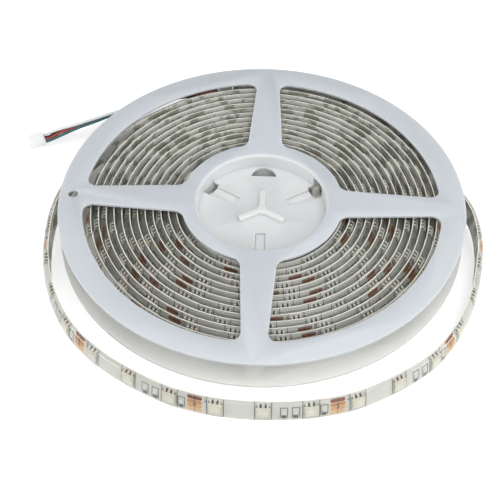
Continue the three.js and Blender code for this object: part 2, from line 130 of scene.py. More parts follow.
class Finish:
    """A material put together round one shader for solid surfaces."""

    def __init__(self, name, colour, roughness, metallic=0.0):
        self.material = bpy.data.materials.new(name)
        self.material.use_nodes = True
        self.tree = self.material.node_tree
        self.shader = self.tree.nodes["Principled BSDF"]
        self.use("Base Color", colour)
        self.use("Roughness", roughness)
        self.use("Metallic", metallic)

    def node(self, kind, settings=None, sockets=None):
        node = self.tree.nodes.new(kind)
        for name, value in (settings or {}).items():
            setattr(node, name, value)
        for name, value in (sockets or {}).items():
            self.feed(node.inputs[name], value)
        return node

    def feed(self, socket, value):
        if isinstance(value, Level):
            value = value.socket
        if isinstance(value, bpy.types.NodeSocket):
            self.tree.links.new(value, socket)
        elif isinstance(value, tuple) and socket.type == "RGBA":
            socket.default_value = (*value, 1)
        else:
            socket.default_value = value

    def use(self, name, value):
        self.feed(self.shader.inputs[name], value)

    def noise(self, size, detail=2.0):
        """Soft noise with features of about this size in metres, from 0 to 1."""
        place = self.node("ShaderNodeTexCoord").outputs["Object"]
        sockets = {"Vector": place, "Scale": 1 / size, "Detail": detail}
        return Level(self, self.node("ShaderNodeTexNoise", {}, sockets).outputs["Fac"])

    def blend(self, share, first, second):
        colours = {0: share, 6: first, 7: second}
        return self.node("ShaderNodeMix", {"data_type": "RGBA"}, colours).outputs[2]

    def mottle(self, size, shade, tone, detail=2.0):
        """Lets the colour drift between two tones, in spots of about this size."""
        self.use("Base Color", self.blend(self.noise(size, detail), shade, tone))

    def polish(self, size, low, spread, detail=2.0):
        """Lets the roughness drift upwards from its low value, in spots of this size."""
        self.use("Roughness", self.noise(size, detail) * spread + low)

    def bump(self, height, depth):
        """Raises the surface by height times depth, in metres."""
        raised = self.node("ShaderNodeBump", {}, {"Height": height, "Distance": depth})
        self.use("Normal", raised.outputs[0])


def insulation(colour):
    tone = WIRE_COLOURS[colour]
    finish = Finish(f"insulation_{colour}", tone, 0.36)
    cloud = finish.noise(0.004, 3.0)
    finish.use("Base Color", finish.blend(cloud, tuple(0.78 * part for part in tone), tone))
    finish.use("Roughness", cloud * 0.2 + 0.26)
    finish.bump(finish.noise(0.0007), 0.00003)
    return finish.material


def smooth_line(points, between):
    """Points on the smooth line through the given ones, that many in each stretch."""
    known = np.array([tuple(point) for point in points], dtype=float)
    known = np.vstack([2 * known[0] - known[1], known, 2 * known[-1] - known[-2]])
    line = []
    for k in range(1, len(known) - 2):
        p, q, r, s = known[k - 1 : k + 3]
        first, middle, last = (np.sqrt(np.linalg.norm(step)) for step in (q - p, r - q, s - r))
        leave = ((q - p) / first - (r - p) / (first + middle) + (r - q) / middle) * middle
        arrive = ((r - q) / middle - (s - q) / (middle + last) + (s - r) / last) * middle
        for t in np.arange(between) / between:
            bend = 3 * (r - q) - 2 * leave - arrive
            twist = 2 * (q - r) + leave + arrive
            line.append(q + leave * t + bend * t**2 + twist * t**3)
    line.append(known[-2])
    return np.array(line)


def select_only(piece):
    bpy.ops.object.select_all(action="DESELECT")
    piece.select_set(True)
    bpy.context.view_layer.objects.active = piece


def settle(piece):
    """Puts the piece's place, turn and size into its mesh."""
    select_only(piece)
    bpy.ops.object.transform_apply(location=True, rotation=True, scale=True)


def block(size, middle, turn=0.0):
    bpy.ops.mesh.primitive_cube_add(size=1, location=middle, rotation=(0, 0, turn), scale=size)
    piece = bpy.context.object
    settle(piece)
    return piece


def choose(piece, kind, wanted, upright=False):
    """Selects the faces or edges, of a piece in edit mode, whose corners are all wanted, and
    if upright is true only those that rise."""
    bpy.ops.mesh.select_mode(type=kind.upper())
    bpy.ops.mesh.select_all(action="DESELECT")
    shape = bmesh.from_edit_mesh(piece.data)
    for part in shape.faces if kind == "face" else shape.edges:
        tall = abs(part.verts[0].co.z - part.verts[1].co.z) > CLOSE
        if all(wanted(corner.co) for corner in part.verts) and (tall or not upright):
            part.select_set(True)
    bmesh.update_edit_mesh(piece.data)


def round_edges(piece, width, segments=3, angle=35):
    rounding = piece.modifiers.new("rounding", "BEVEL")
    rounding.width = width
    rounding.segments = segments
    rounding.limit_method = "ANGLE"
    rounding.angle_limit = math.radians(angle)
    select_only(piece)
    bpy.ops.object.modifier_apply(modifier="rounding")


def copy_of(piece):
    copy = piece.copy()
    copy.data = piece.data.copy()
    bpy.context.collection.objects.link(copy)
    return copy


def join(pieces):
    select_only(pieces[0])
    for piece in pieces[1:]:
        piece.select_set(True)
    bpy.ops.object.join()
    return bpy.context.object


def finish_piece(piece, name, slot, *materials, smooth=35):
    """Names the finished piece, gives it its materials and fixes it to the reel."""
    piece.name = name
    piece.data.name = name
    for material in materials:
        piece.data.materials.append(material)
    if piece.type == "MESH":
        select_only(piece)
        bpy.ops.object.shade_smooth_by_angle(angle=math.radians(smooth))
    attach(piece, "root")
    return piece


def wire_stops(colour, joint_face, plug_rear):
    """The points that one wire runs through, from the joint to the plug."""
    row = JOINT_STACK.index(colour)
    middle = [joint_face, *(Vector(at) / 1000 for at, *_ in LEAD_ROUTE), plug_rear]
    stops = [joint_face - Vector((0, 0, (row - 1.5) * WIRE_SPACING))]
    for k, (_, *shifts) in enumerate(LEAD_ROUTE):
        along = middle[k + 2] - middle[k]
        side = Vector((along.y, -along.x, 0)).normalized()
        rearward, up = shifts[row]
        stops.append(middle[k + 1] + side * rearward / 1000 + Vector((0, 0, up / 1000)))
    across = Vector((-math.sin(PLUG_TURN), math.cos(PLUG_TURN), 0))
    stops.append(plug_rear + across * (PLUG_ORDER.index(colour) - 1.5) * WIRE_SPACING)
    return stops


joint_low, joint_high = (Vector(corner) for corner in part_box("lead_joint"))
joint_middle = (joint_low + joint_high) / 2
joint_turn = math.atan2(joint_middle.y, joint_middle.x)
joint_along = Vector((-math.sin(joint_turn), math.cos(joint_turn), 0))
joint_face = joint_middle + joint_along * (JOINT_LENGTH / 2 + WIRE_END_GAP)
plug_ahead = Vector((math.cos(PLUG_TURN), math.sin(PLUG_TURN), 0))
plug_rear = PLUG_CENTRE - plug_ahead * (PLUG_LENGTH / 2 + WIRE_END_GAP)

wires = {}
for colour in PLUG_ORDER:
    line = smooth_line(wire_stops(colour, joint_face, plug_rear), POINTS_BETWEEN)
    bpy.ops.curve.primitive_bezier_curve_add()
    wire = bpy.context.object
    wire.data.bevel_depth = WIRE_RADIUS
    wire.data.bevel_resolution = 4
    wire.data.resolution_u = 4
    wire.data.use_fill_caps = True
    spline = wire.data.splines[0]
    spline.bezier_points.add(len(line) - 2)
    for knot, at in zip(spline.bezier_points, line):
        knot.co = at
        knot.handle_left_type = knot.handle_right_type = "AUTO"
    finish_piece(wire, f"lead_wire_{colour}", f"wire_{colour}", insulation(colour))
    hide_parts(f"wire_{colour}")
    wires[colour] = (wire, line)


# The plug is a small white nylon housing with four places side by side, each open in front
# over its tinned contact and closed round its wire behind.
PLUG_THICK = 0.0026
PLUG_CELL_ROUND = 0.00022
PLUG_MOUTH = 0.00028
PLUG_MOUTH_DEPTH = 0.0036
PLUG_COLLAR = 0.0007

cell = block((PLUG_LENGTH, WIRE_SPACING, PLUG_THICK), (0, 0, 0))
bpy.ops.object.mode_set(mode="EDIT")
choose(cell, "face", lambda at: at.x > PLUG_LENGTH * 0.49)
bpy.ops.mesh.inset(thickness=PLUG_MOUTH)
bpy.ops.mesh.extrude_region_move(TRANSFORM_OT_translate={"value": (-PLUG_MOUTH_DEPTH, 0, 0)})
choose(cell, "face", lambda at: at.x < -PLUG_LENGTH * 0.49)
bpy.ops.mesh.inset(thickness=PLUG_MOUTH / 4)
bpy.ops.mesh.extrude_region_move(TRANSFORM_OT_translate={"value": (-PLUG_COLLAR, 0, 0)})
bpy.ops.object.mode_set(mode="OBJECT")
round_edges(cell, PLUG_CELL_ROUND)
cells = [cell, *(copy_of(cell) for _ in PLUG_ORDER[1:])]
for k, one in enumerate(cells):
    one.location = (0, (k - 1.5) * WIRE_SPACING, 0)
plug = join(cells)
settle(plug)
plug.rotation_euler = (0, 0, PLUG_TURN)
plug.location = PLUG_CENTRE
settle(plug)

nylon = Finish("nylon", (0.80, 0.82, 0.82), 0.4)
nylon.polish(0.0008, 0.3, 0.2)
nylon.mottle(0.003, (0.72, 0.74, 0.74), (0.84, 0.86, 0.86), 3.0)
nylon.bump(nylon.noise(0.0003), 0.00001)
finish_piece(plug, "plug", "plug_nylon", nylon.material)
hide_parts("plug_housing")

tin = Finish("tinned_brass", (0.62, 0.60, 0.55), 0.3, 1.0)
tin.polish(0.0005, 0.2, 0.3)
contacts = [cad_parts[f"plug_contact_{k + 1}"] for k in range(4)]
for contact in contacts:
    contact.data.materials.clear()
    contact.data.materials.append(tin.material)

for contact, (colour, (wire, line)) in zip(contacts, wires.items()):
    [contact, plug] if colour == "white" else [contact]


# The joint where the wires are soldered to the strip's end is potted in a block of milky
# silicone, a little thicker than the strip.
JOINT_THICK = 0.003
JOINT_HEIGHT = 0.009
JOINT_ROUND = 0.0006

joint = block((JOINT_THICK, JOINT_LENGTH, JOINT_HEIGHT), joint_middle, joint_turn)
bpy.ops.object.mode_set(mode="EDIT")
bpy.ops.mesh.select_all(action="SELECT")
bpy.ops.mesh.subdivide(number_cuts=3)
bpy.ops.object.mode_set(mode="OBJECT")
round_edges(joint, JOINT_ROUND, 4, 60)
resin = Finish("joint_silicone", (0.70, 0.70, 0.67), 0.3)
resin.mottle(0.002, (0.62, 0.62, 0.58), (0.74, 0.74, 0.71), 3.0)
resin.polish(0.001, 0.15, 0.3)
resin.bump(resin.noise(0.0015, 3.0), 0.0003)
finish_piece(joint, "potted_joint", "joint_resin", resin.material)
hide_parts("lead_joint")


# The lower half of the reel is one moulding in white plastic: a thin disc with four windows,
# a ring wall that the upper half rests on, and three tongues that snap into its slots.
REEL_RADIUS = 0.08
FLANGE_THICK = 0.0012
REEL_TURN = math.radians(-2.5)
WINDOW_OUTER = 0.0705
WINDOW_INNER = 0.0319
SPOKE_HALF_OUTER = 0.00465
SPOKE_HALF_INNER = 0.00705
CORNER_OUTER = 0.0045
CORNER_INNER = 0.003
RIM_HOLE = 0.002
RIM_HOLE_PLACE = 0.0747
HUB_RADIUS = 0.0289
DISH_RADIUS = 0.0255
FLOOR_BOTTOM = 0.0064
FLOOR_THICK = 0.0012
FIT_GAP = 0.0003
SNAP_GAP = 0.0001
SLOT_INNER = 0.0115
SLOT_OUTER = 0.0225
SLOT_WIDTH = 0.0039
NOTCH_WIDTH = 0.007
SLOT_ANGLES = [math.radians(27.5 + 120 * k) for k in range(3)]
SILL = FLANGE_THICK * 0.7
TONGUE_STAND = 0.0007
TONGUE_LEAN = 0.0002
EDGE_ROUND = 0.00018
HUB_SIDES = 192
RIM_SIDES = 256
HOLE_SIDES = 40
WINDOW_STEPS = 64
CORNER_STEPS = 7
HUB_TONE_MARGIN = 0.0003
HUB_TONE_FADE = 0.0012
CUT_MARGIN = 0.001  # how far a cutting shape stands out of what it cuts


def disc(radius, low, high, sides=RIM_SIDES, middle=(0, 0)):
    bpy.ops.mesh.primitive_cylinder_add(
        vertices=sides, radius=radius, depth=high - low, location=(*middle, (low + high) / 2)
    )
    piece = bpy.context.object
    settle(piece)
    return piece


def spoke_block(near, far, width, low, high, turn):
    """A block that lies like a spoke, from near the reel's middle to farther out."""
    middle = (near + far) / 2
    place = (middle * math.cos(turn), middle * math.sin(turn), (low + high) / 2)
    return block((far - near, width, high - low), place, turn)


def shape_with(piece, other, operation="DIFFERENCE"):
    """Cuts the other shape out of the piece, or joins it on, and uses it up."""
    shaping = piece.modifiers.new("shaping", "BOOLEAN")
    shaping.operation = operation
    shaping.solver = "EXACT"
    shaping.object = other
    select_only(piece)
    bpy.ops.object.modifier_apply(modifier="shaping")
    bpy.data.objects.remove(other)


def window_block(low, high):
    """What is left out between two spokes, lying along +X: a quarter of a ring, trimmed
    along the spokes and rounded at its corners."""
    lean_outer = math.pi / 4 - math.asin(SPOKE_HALF_OUTER / WINDOW_OUTER)
    lean_inner = math.pi / 4 - math.asin(SPOKE_HALF_INNER / WINDOW_INNER)
    bpy.ops.mesh.primitive_plane_add(
        size=1,
        location=((WINDOW_OUTER + WINDOW_INNER) / 2, 0, (low + high) / 2),
        rotation=(math.pi / 2, 0, 0),
    )
    piece = bpy.context.object
    piece.scale = (WINDOW_OUTER - WINDOW_INNER, high - low, 1)
    settle(piece)
    piece.rotation_euler = (0, 0, -math.pi / 4)
    settle(piece)
    bpy.ops.object.mode_set(mode="EDIT")
    bpy.ops.mesh.select_all(action="SELECT")
    bpy.ops.mesh.spin(steps=WINDOW_STEPS, angle=math.pi / 2, center=(0, 0, 0), axis=(0, 0, 1))
    bpy.ops.object.mode_set(mode="OBJECT")
    middle = np.mean([vertex.co for vertex in piece.data.vertices], axis=0)
    piece.rotation_euler = (0, 0, -math.atan2(middle[1], middle[0]))
    settle(piece)
    bpy.ops.object.mode_set(mode="EDIT")
    bpy.ops.mesh.select_all(action="SELECT")
    bpy.ops.mesh.remove_doubles(threshold=1e-6)
    for side in (1, -1):
        outer = Vector((math.cos(lean_outer), side * math.sin(lean_outer), 0)) * WINDOW_OUTER
        inner = Vector((math.cos(lean_inner), side * math.sin(lean_inner), 0)) * WINDOW_INNER
        along = outer - inner
        away = Vector((-along.y, along.x, 0)).normalized() * side
        bpy.ops.mesh.select_all(action="SELECT")
        bpy.ops.mesh.bisect(plane_co=inner, plane_no=away, use_fill=True, clear_outer=True)
    bpy.ops.mesh.select_all(action="SELECT")
    bpy.ops.mesh.dissolve_limited(angle_limit=math.radians(0.2))
    ends = [(lean_outer, WINDOW_OUTER, CORNER_OUTER), (lean_inner, WINDOW_INNER, CORNER_INNER)]
    corners = {room: [] for _, _, room in ends}
    for lean, radius, room in ends:
        for side in (1, -1):
            corner = Vector((math.cos(lean), side * math.sin(lean))) * radius
            corners[room].append(corner)
            choose(
                piece,
                "edge",
                lambda at: 2 * CLOSE < (at.xy - corner).length < room * 1.2
                and abs(at.xy.length - radius) < CLOSE,
                upright=True,
            )
            bpy.ops.mesh.dissolve_edges(use_verts=True)
    for room, pair in corners.items():
        choose(
            piece,
            "edge",
            lambda at: any((at.xy - corner).length < 2 * CLOSE for corner in pair),
            upright=True,
        )
        bpy.ops.mesh.bevel(offset=room, segments=CORNER_STEPS, profile=0.5)
    bpy.ops.mesh.select_all(action="SELECT")
    bpy.ops.mesh.normals_make_consistent(inside=False)
    bpy.ops.object.mode_set(mode="OBJECT")
    return piece


def flange(low):
    """The thin disc of either half, with its windows and the small hole near its rim."""
    piece = disc(REEL_RADIUS, low, low + FLANGE_THICK)
    under, over = low - CUT_MARGIN, low + FLANGE_THICK + CUT_MARGIN
    pattern = window_block(under, over)
    for k in range(4):
        cutter = copy_of(pattern)
        cutter.rotation_euler = (0, 0, REEL_TURN + math.radians(45 + 90 * k))
        settle(cutter)
        shape_with(piece, cutter)
    bpy.data.objects.remove(pattern)
    hole_turn = math.pi + REEL_TURN
    hole = (RIM_HOLE_PLACE * math.cos(hole_turn), RIM_HOLE_PLACE * math.sin(hole_turn))
    shape_with(piece, disc(RIM_HOLE, under, over, HOLE_SIDES, hole))
    return piece


def wall_opening(low, high):
    """What is cut out of the hub's wall where the strip's inner end comes in."""
    near, far = DISH_RADIUS - CUT_MARGIN, HUB_RADIUS + CUT_MARGIN
    return spoke_block(near, far, NOTCH_WIDTH, low, high, SLOT_ANGLES[0])


def moulded_plastic(name, shade, tone, hub_tone):
    """White plastic, of a different tone round the hub than out on the disc."""
    finish = Finish(name, tone, 0.4)
    place = finish.node("ShaderNodeTexCoord").outputs["Object"]
    split = finish.node("ShaderNodeSeparateXYZ", {}, {"Vector": place})
    across, back = Level(finish, split.outputs["X"]), Level(finish, split.outputs["Y"])
    from_middle = (across * across + back * back).work("SQRT")
    disc_tone = finish.blend(finish.noise(0.035, 3.0), shade, tone)
    on_hub = from_middle.below(DISH_RADIUS + HUB_TONE_MARGIN, HUB_TONE_FADE)
    finish.use("Base Color", finish.blend(on_hub, disc_tone, hub_tone))
    finish.polish(0.012, 0.32, 0.16, 3.0)
    finish.bump(finish.noise(0.0005), 0.00001)
    finish.use("Subsurface Weight", 0.6)
    finish.use("Subsurface Radius", (0.0030, 0.0028, 0.0024))
    finish.use("Subsurface Scale", 1.0)
    return finish.material


lower = flange(0)
wall = disc(HUB_RADIUS, FLANGE_THICK / 2, FLOOR_BOTTOM - FIT_GAP, HUB_SIDES)
shape_with(wall, disc(DISH_RADIUS, 0, FLOOR_BOTTOM + 2 * CUT_MARGIN, HUB_SIDES))
shape_with(wall, wall_opening(SILL, FLOOR_BOTTOM + CUT_MARGIN))
shape_with(lower, wall, "UNION")
near, far = SLOT_INNER + SNAP_GAP, SLOT_OUTER - FIT_GAP
width, top = SLOT_WIDTH - 2 * SNAP_GAP, FLOOR_BOTTOM + TONGUE_STAND
for turn in SLOT_ANGLES:
    tongue = spoke_block(near, far, width, FLANGE_THICK / 2, top, 0)
    bpy.ops.object.mode_set(mode="EDIT")
    choose(tongue, "edge", lambda at: at.z > FLOOR_BOTTOM and at.x < (near + far) / 2)
    bpy.ops.transform.translate(value=(0, 0, -TONGUE_LEAN))
    choose(tongue, "edge", lambda at: at.z > FLOOR_BOTTOM and at.x > (near + far) / 2)
    bpy.ops.transform.translate(value=(0, 0, TONGUE_LEAN))
    bpy.ops.object.mode_set(mode="OBJECT")
    tongue.rotation_euler = (0, 0, turn)
    settle(tongue)
    shape_with(lower, tongue, "UNION")
round_edges(lower, EDGE_ROUND, 2)
# The lower disc gets a far lighter tone than the upper half's same plastic, as painted light
# against the shade of the upper flange. Round the hub it takes about the upper half's tone.
lower_white_painted_light = moulded_plastic(
    "lower_plastic_painted_light", (0.86, 0.84, 0.77), (0.90, 0.89, 0.84), (0.66, 0.67, 0.66)
)
finish_piece(lower, "reel_lower", "reel_plastic", lower_white_painted_light, smooth=30)
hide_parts("reel_lower_half")


# The strip is a white flexible circuit board, 10 mm wide and backed with tape. It winds
# thirteen times round the hub, leaves the roll at the rear left, goes round the front in one
# loose turn that touches the table, and ends under the rim where the lead is soldered on.
STRIP_WIDTH = 10.0  # the strip is measured in mm and degrees
BOARD_THICK = 0.3
BOARD_INSET = 0.04
STRIP_THICK = 2.6
TURN_PITCH = 3.06
CORE_RADIUS = 29.3
START_ANGLE = 33
EXIT_ANGLE = 130
FULL_TURNS = 13
EXIT_LEAD = 8
LOOSE_TURN = [
    (140, -8.9), (150, -6.6), (160, -3.7), (170, -1.0), (180, 1.5), (190, 3.7),
    (200, 6.2), (210, 8.6), (220, 10.7), (230, 11.5), (240, 11.8), (250, 12.6),
    (260, 12.8), (270, 12.9), (280, 13.6), (290, 14.3), (300, 13.9), (310, 13.7),
    (320, 11.8), (330, 9.2), (340, 6.7), (350, 5.0), (358, 3.0), (366, -0.8), (374, -3.0),
]
LOOSE_POINTS_BETWEEN = 24
TAIL_RADIUS = 75.6
TAIL_STOPS = range(384, 456, 12)
TAIL_END = 459.4
STRIP_BOTTOM = 1.5
LAY_FROM = 80.5
LAY_TO = 86.0
CUT_PITCH = 50.0
LED_PITCH = CUT_PITCH / 3
FIRST_LED = 7.3
RESISTOR_PLACES = [31.2, 35.3, 45.2]
RESISTOR_MIDDLE = 3.8
BOARD_STEP = 1.5
# Pad rows by height with their copper. The copper is painted darker row by row towards the top
# edge as painted shade, the top row darkest.
PAD_ROWS_SHADED_UPWARD = [
    (2.6, (0.66, 0.42, 0.19)),
    (4.4, (0.60, 0.33, 0.13)),
    (6.2, (0.50, 0.23, 0.08)),
    (8.1, (0.20, 0.062, 0.022)),
]
PAD_HALF = (2.75, 0.82)
PAD_SOFT = 0.14
STAMP_PLACE = 3.75
LED_LINE_PLACE = 2.95
# Where the dots of painted shade between the LED legs sit.
LEG_SHADE_DOT_PLACE = (0.87, 8.2)
SMALL_DOT_PLACE = (2.15, 8.3)


def ring_point(angle, radius):
    turn = math.radians(angle)
    return (radius * math.cos(turn), radius * math.sin(turn))


def strip_route():
    """The board's back as points about 1 mm apart, how far along it each of them stands, and
    how much of it is wound."""
    swept = np.arange(0, FULL_TURNS * 360 + EXIT_ANGLE - START_ANGLE - EXIT_LEAD, 1.0)
    radius = CORE_RADIUS + TURN_PITCH * swept / 360
    turn = np.radians(START_ANGLE + swept)
    wound = np.stack([radius * np.cos(turn), radius * np.sin(turn)], -1)
    exit_radius = CORE_RADIUS + TURN_PITCH * (FULL_TURNS + (EXIT_ANGLE - START_ANGLE) / 360)
    before_exit = exit_radius - TURN_PITCH * EXIT_LEAD / 360
    guide = [(EXIT_ANGLE - EXIT_LEAD, before_exit), (EXIT_ANGLE, exit_radius)]
    guide += [(angle, 1000 * REEL_RADIUS + beyond) for angle, beyond in LOOSE_TURN]
    guide += [(angle, TAIL_RADIUS) for angle in TAIL_STOPS]
    guide += [(TAIL_END, TAIL_RADIUS)]
    loose = smooth_line([ring_point(*stop) for stop in guide], LOOSE_POINTS_BETWEEN)
    route = np.vstack([wound, loose])
    lengths = np.linalg.norm(np.diff(route, axis=0), axis=1)
    return route, np.concatenate([[0], np.cumsum(lengths)]), float(lengths[: len(wound)].sum())


route, run, wound_length = strip_route()
strip_length = float(run[-1])
heading = np.gradient(route, run, axis=0)
outward = np.stack([heading[:, 1], -heading[:, 0]], -1)
outward /= np.linalg.norm(heading, axis=1)[:, None]
beyond = np.clip((np.linalg.norm(route, axis=1) - LAY_FROM) / (LAY_TO - LAY_FROM), 0, 1)
lowered = STRIP_BOTTOM * beyond**2 * (3 - 2 * beyond)


def on_route(distance):
    """Where the board's back stands at this distance from the strip's inner end, in mm, the
    way out from it and the height of its lower edge."""
    at = np.stack([np.interp(distance, run, route[:, k]) for k in (0, 1)], -1)
    out = np.stack([np.interp(distance, run, outward[:, k]) for k in (0, 1)], -1)
    return at, out, STRIP_BOTTOM - np.interp(distance, run, lowered)


def wind(piece):
    """Takes a straight strip, along X with its front towards -Y, in mm, on to the reel."""
    count = len(piece.data.vertices)
    straight = np.empty(count * 3)
    piece.data.vertices.foreach_get("co", straight)
    straight = straight.reshape(count, 3)
    at, out, low = on_route(straight[:, 0])
    placed = np.column_stack([at - out * straight[:, 1:2], low + straight[:, 2]]) / 1000
    piece.data.vertices.foreach_set("co", placed.ravel())
    piece.data.update()


def ribbon(front, low, high, rows=1):
    """A straight ribbon of the strip's whole length, standing on edge."""
    steps = round(strip_length / BOARD_STEP)
    bpy.ops.mesh.primitive_grid_add(
        x_subdivisions=steps,
        y_subdivisions=rows,
        size=1,
        location=(strip_length / 2, front, (low + high) / 2),
        rotation=(math.pi / 2, 0, 0),
    )
    piece = bpy.context.object
    piece.scale = (strip_length, high - low, 1)
    settle(piece)
    return piece


def thicken(piece, thickness, back=0, rim=0):
    """Gives a ribbon its thickness, with its back and its rim in other materials if asked."""
    layer = piece.modifiers.new("layer", "SOLIDIFY")
    layer.thickness = thickness
    layer.offset = -1
    layer.material_offset = back
    layer.material_offset_rim = rim
    select_only(piece)
    bpy.ops.object.modifier_apply(modifier="layer")


def board_print():
    """White solder mask with copper pads at each cut line, their copper painted darker row by row
    towards the top as painted shade, fine dark print, and dark dots between the LED legs that are
    painted shade, copper-red in places.
    """
    mask_tone = (0.50, 0.50, 0.465)
    ink = (0.035, 0.033, 0.030)
    finish = Finish("board_front", mask_tone, 0.45)
    along_strip = finish.node("ShaderNodeUVMap", {"uv_map": "along_strip"})
    split = finish.node("ShaderNodeSeparateXYZ", {}, {"Vector": along_strip.outputs["UV"]})
    along = Level(finish, split.outputs["X"])
    height = Level(finish, split.outputs["Y"])
    cloud = finish.noise(0.006, 3.0)
    colour = finish.blend(cloud, tuple(0.94 * part for part in mask_tone), mask_tone)

    def reach(sideways, up, squash=1.0):
        """How far it is to a spot's middle, with heights counted less if squashed."""
        return (sideways * sideways + up * up * squash).work("SQRT")

    def patch(sideways, half, middle, tall, soft=0.1, soft_up=0.1):
        """An upright patch, from half its width and from the middle and half of its height."""
        return sideways.below(half, soft) * abs(height - middle).below(tall, soft_up)

    from_cut = along.work("PINGPONG", CUT_PITCH / 2)
    past_end = (from_cut - (PAD_HALF[0] - PAD_HALF[1])).work("MAXIMUM", 0.0)
    speckle = finish.noise(0.0009, 3.0)
    # The higher rows' copper is painted darker, as painted shade.
    for middle, copper in PAD_ROWS_SHADED_UPWARD:
        pad = reach(past_end, height - middle).below(PAD_HALF[1], PAD_SOFT)
        darker = tuple(0.62 * part for part in copper)
        colour = finish.blend(pad, colour, finish.blend(speckle, darker, copper))
    cut_line = patch(from_cut, half=0.13, middle=5.5, tall=4.3)
    scissors = patch(from_cut, half=0.55, middle=5.6, tall=1.1, soft=0.25, soft_up=0.3)
    scissors = scissors * speckle.below(0.52, soft=0.08)
    from_stamp = abs(along.work("FLOORED_MODULO", CUT_PITCH) - STAMP_PLACE)
    stamp = patch(from_stamp, half=0.42, middle=7.9, tall=1.3, soft=0.15, soft_up=0.2)
    stamp = stamp * finish.noise(0.0005).below(0.5, soft=0.1)
    from_led = (along - FIRST_LED).work("PINGPONG", LED_PITCH / 2)
    led_line = patch(abs(from_led - LED_LINE_PLACE), half=0.17, middle=5.0, tall=4.8, soft_up=0.2)
    # Painted shade: dark dots in the gaps between the LED's upper legs, copper-red in places.
    leg_shade_dot = reach(from_led - LEG_SHADE_DOT_PLACE[0], height - LEG_SHADE_DOT_PLACE[1], squash=0.3)
    leg_shade_dot = leg_shade_dot.below(0.38, soft=0.14)
    small_dot = reach(from_led - SMALL_DOT_PLACE[0], height - SMALL_DOT_PLACE[1])
    small_dot = small_dot.below(0.22, soft=0.2)
    marks = [(cut_line, 0.8), (scissors, 0.8), (stamp, 0.8), (led_line, 0.85), (small_dot, 0.5)]
    for place in RESISTOR_PLACES:
        side = abs((along - place).work("WRAP", CUT_PITCH / 2, -CUT_PITCH / 2))
        inside = patch(side, half=1.12, middle=4.6, tall=2.15)
        outside = patch(side, half=1.42, middle=4.6, tall=2.5)
        open_below = (8.0 - height).below(5.6, soft=0.8)
        marks.append(((outside - inside) * open_below, 0.9))
    for mark, strength in marks:
        colour = finish.blend(mark * strength, colour, ink)
    warm = finish.noise(0.02).below(0.43, soft=0.02)
    painted_shade_tone = finish.blend(warm, (0.02, 0.015, 0.012), (0.13, 0.03, 0.02))
    finish.use("Base Color", finish.blend(leg_shade_dot * 0.92, colour, painted_shade_tone))
    return finish.material


tape = Finish("backing_tape", (0.66, 0.66, 0.60), 0.6)
# Dark blotches at random over the tape.
dark_blotches = tape.noise(0.006, 3.0).below(0.465, soft=0.05)
tape.use("Base Color", tape.blend(dark_blotches * 0.8, (0.62, 0.62, 0.57), (0.21, 0.22, 0.16)))
board_edge = Finish("board_edge", (0.72, 0.70, 0.60), 0.55)
board_edge.mottle(0.003, (0.62, 0.60, 0.50), (0.78, 0.77, 0.70), 3.0)

board = ribbon(-BOARD_THICK, BOARD_INSET, STRIP_WIDTH - BOARD_INSET)
for material in (board_print(), tape.material, board_edge.material):
    board.data.materials.append(material)
thicken(board, BOARD_THICK, back=1, rim=2)
layout = board.data.uv_layers[0]
layout.name = "along_strip"
corner_of = np.empty(len(board.data.loops), dtype=int)
board.data.loops.foreach_get("vertex_index", corner_of)
corners = np.array([tuple(vertex.co) for vertex in board.data.vertices])
first_cut = strip_length % CUT_PITCH
mapped = np.column_stack([corners[corner_of, 0] + CUT_PITCH - first_cut, corners[corner_of, 2]])
layout.data.foreach_set("uv", mapped.ravel())
wind(board)
finish_piece(board, "strip_board_wound", "circuit_board")
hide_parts("strip_board")


# The strip's inner end is a short piece of the bare white board. It is bent in through the
# opening in the hub's wall and cut off there.
INNER_END_STEPS = 12
INNER_END_TURN = 12.6
INNER_END_BEND = 3.0
INNER_END_TRIM = 0.1

bpy.ops.mesh.primitive_grid_add(
    x_subdivisions=INNER_END_STEPS, y_subdivisions=1, size=1, rotation=(math.pi / 2, 0, 0)
)
inner_end = bpy.context.object
inner_end.scale = (1, STRIP_WIDTH - INNER_END_TRIM, 1)
settle(inner_end)
thicken(inner_end, BOARD_THICK)
for vertex in inner_end.data.vertices:
    share = vertex.co.x + 0.5
    radius = CORE_RADIUS - INNER_END_BEND * share**1.5 + vertex.co.y
    x, y = ring_point(START_ANGLE - INNER_END_TURN * share, radius)
    vertex.co = (x / 1000, y / 1000, (STRIP_BOTTOM + STRIP_WIDTH / 2 + vertex.co.z) / 1000)
bpy.ops.object.mode_set(mode="EDIT")
bpy.ops.mesh.select_all(action="SELECT")
bpy.ops.mesh.normals_make_consistent(inside=False)
bpy.ops.object.mode_set(mode="OBJECT")
end_white = Finish("inner_end_white", (0.80, 0.78, 0.62), 0.5)
end_white.mottle(0.0012, (0.74, 0.72, 0.55), (0.84, 0.82, 0.68))
finish_piece(inner_end, "strip_inner_end", "circuit_board", end_white.material)


# Each LED is a 5 mm square moulding in creamy white plastic, with clear gel in its round
# cup and three tinned legs above and below. Three of them stand between two cut lines.
LED_SIDE = 5.0
LED_FRONT = 1.75
LED_SEAT = 0.28
LED_BEVEL = 0.18
CUP_RADIUS = 1.95
CUP_DEPTH = 0.5
CUP_MIDDLE = 0.21
LEG_PLACES = [-1.7, 0.0, 1.7]
LEG_SIZE = (0.95, 0.62, 0.62)
LEG_OUT = 0.25
LEG_MIDDLE = 0.3
# Painted shade: a dark block fills the space between and behind the legs, where they stand in
# shadow.
LEG_SHADE_SIZE = (LED_SIDE - 0.2, 0.5, 0.5)  # the dark space between and behind the legs
LEG_SHADE_MIDDLE = 0.27
STRIP_MARGIN = 3


